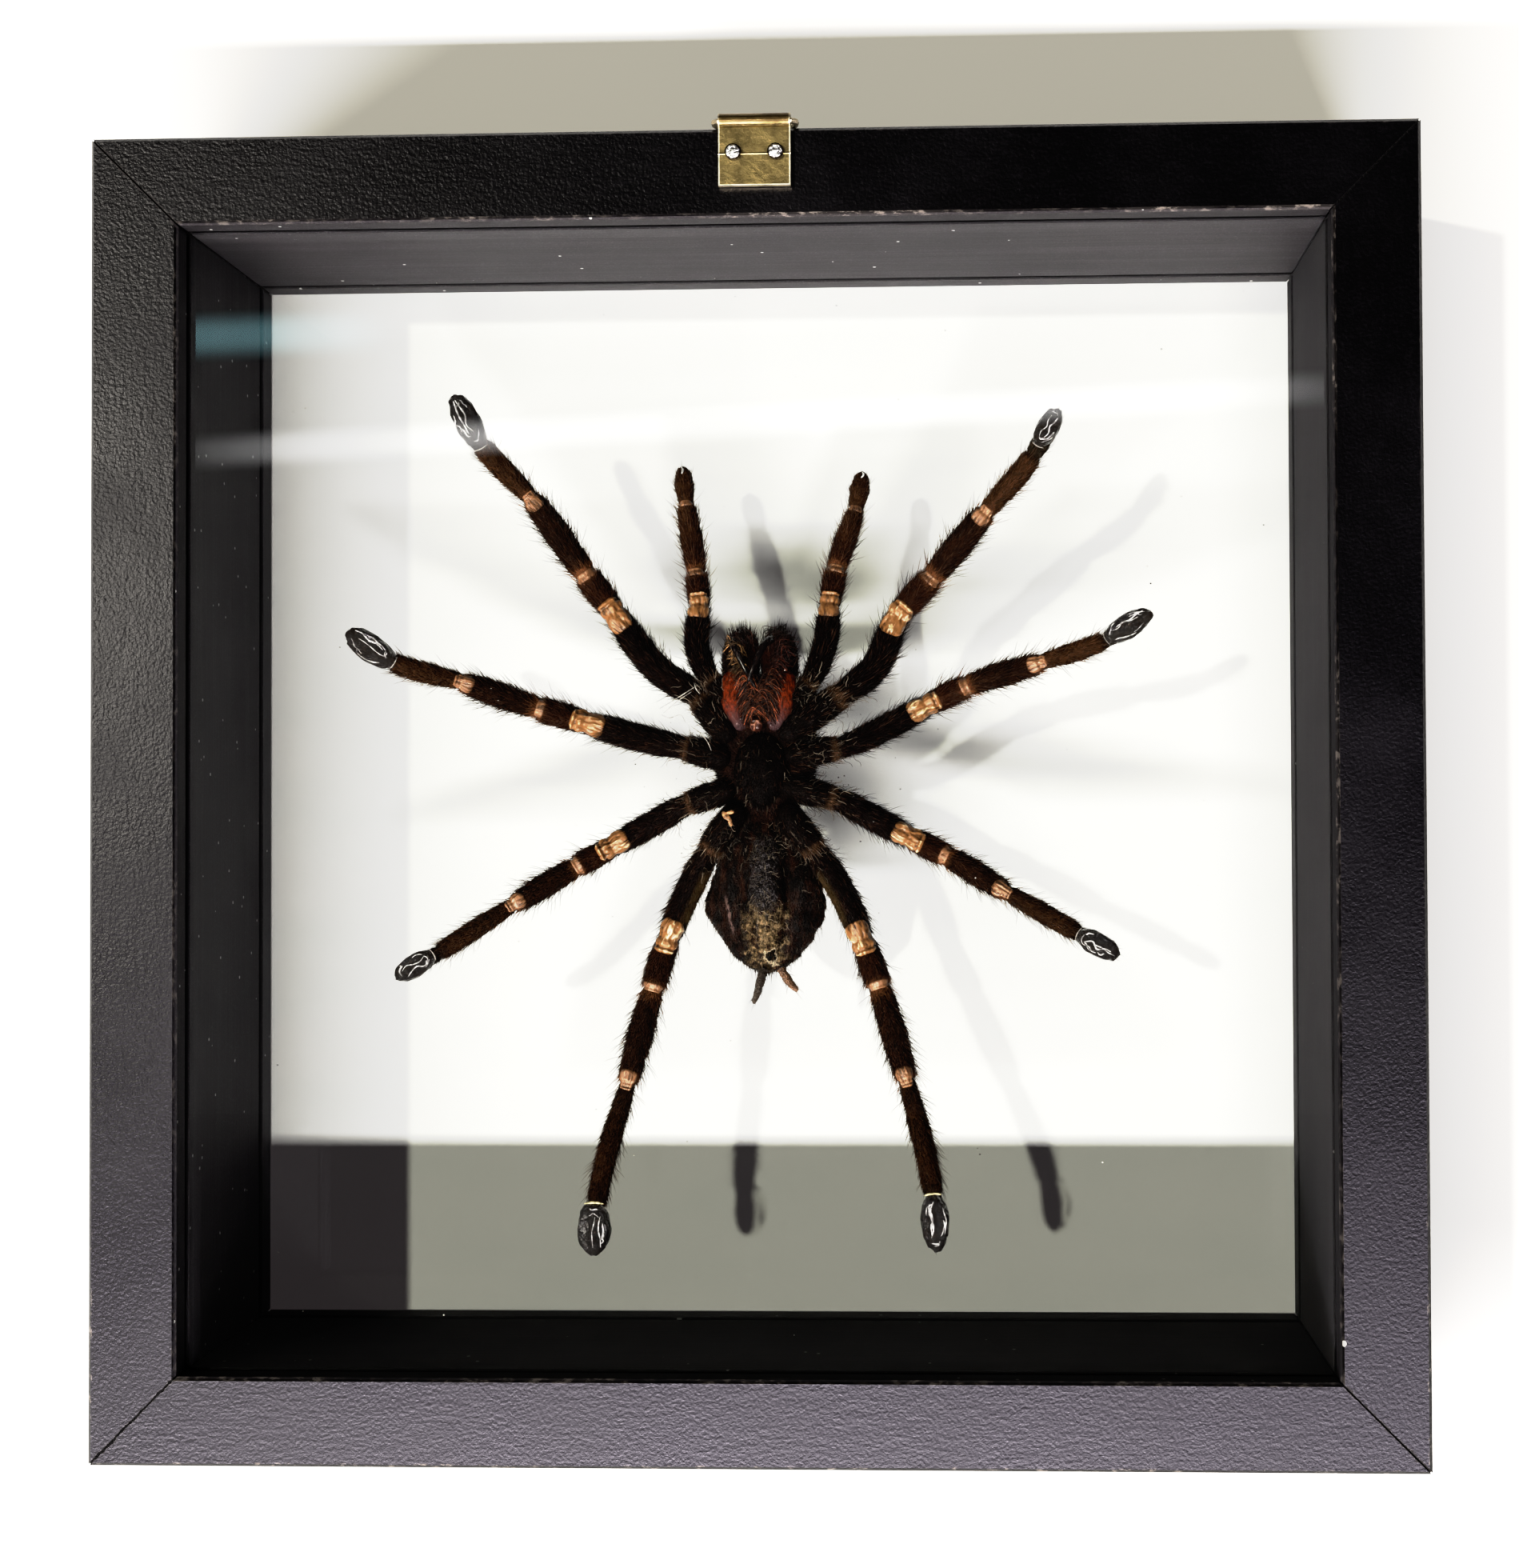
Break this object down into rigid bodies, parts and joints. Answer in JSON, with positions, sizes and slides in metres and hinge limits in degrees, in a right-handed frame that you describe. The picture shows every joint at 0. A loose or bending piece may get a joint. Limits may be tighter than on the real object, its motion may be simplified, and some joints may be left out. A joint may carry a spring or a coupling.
{
  "type": "framed tarantula specimen",
  "caption": "Dried tarantula mounted belly up between two panes of glass in a deep square black wooden box frame with a folded strap hanger and swinging wire ring on its back.",
  "frame": {"origin": "under the middle of the whole part, on the plane it lies on, which is the frame's front face", "axes": "+Z out of the frame's back, +Y towards the edge with the hanger, +X to the right seen from the back"},
  "size_m": [0.23, 0.2322, 0.0514],
  "materials": {
    "black_paint": "brushed black paint on wood, satin, with grain and small chips",
    "glass": "clear picture glass",
    "brass": "dull scratched brass sheet",
    "nail_steel": "bright hammered nail heads",
    "cuticle": "dark hairy dry cuticle with tan joint membranes",
    "fang": "polished black horn",
    "spinneret": "dull dry brown skin",
    "glue": "clear set glue"
  },
  "bodies": {
    "case": {"rail_top": "black_paint", "rail_bottom": "black_paint", "rail_left": "black_paint", "rail_right": "black_paint", "back_glass": "glass", "front_glass": "glass", "hanger_strap": "brass", "left_nail": "nail_steel", "right_nail": "nail_steel", "cephalothorax": "cuticle", "abdomen": "cuticle", "right_chelicera": "cuticle", "left_chelicera": "cuticle", "right_fang": "fang", "left_fang": "fang", "right_spinneret": "spinneret", "left_spinneret": "spinneret", "right_leg_1": "cuticle", "right_leg_2": "cuticle", "right_leg_3": "cuticle", "right_leg_4": "cuticle", "left_leg_1": "cuticle", "left_leg_2": "cuticle", "left_leg_3": "cuticle", "left_leg_4": "cuticle", "right_pedipalp": "cuticle", "left_pedipalp": "cuticle", "right_leg_1_glue": "glue", "right_leg_2_glue": "glue", "right_leg_3_glue": "glue", "right_leg_4_glue": "glue", "left_leg_1_glue": "glue", "left_leg_2_glue": "glue", "left_leg_3_glue": "glue", "left_leg_4_glue": "glue"},
    "ring": {"hanger_ring": "brass"}
  },
  "joints": [
    {"name": "ring_swing", "type": "hinge", "parent": "case", "child": "ring", "pos_m": [0.0011, 0.1148, 0.05005], "axis": [1, 0, 0], "range_deg": [0, 225]}
  ]
}
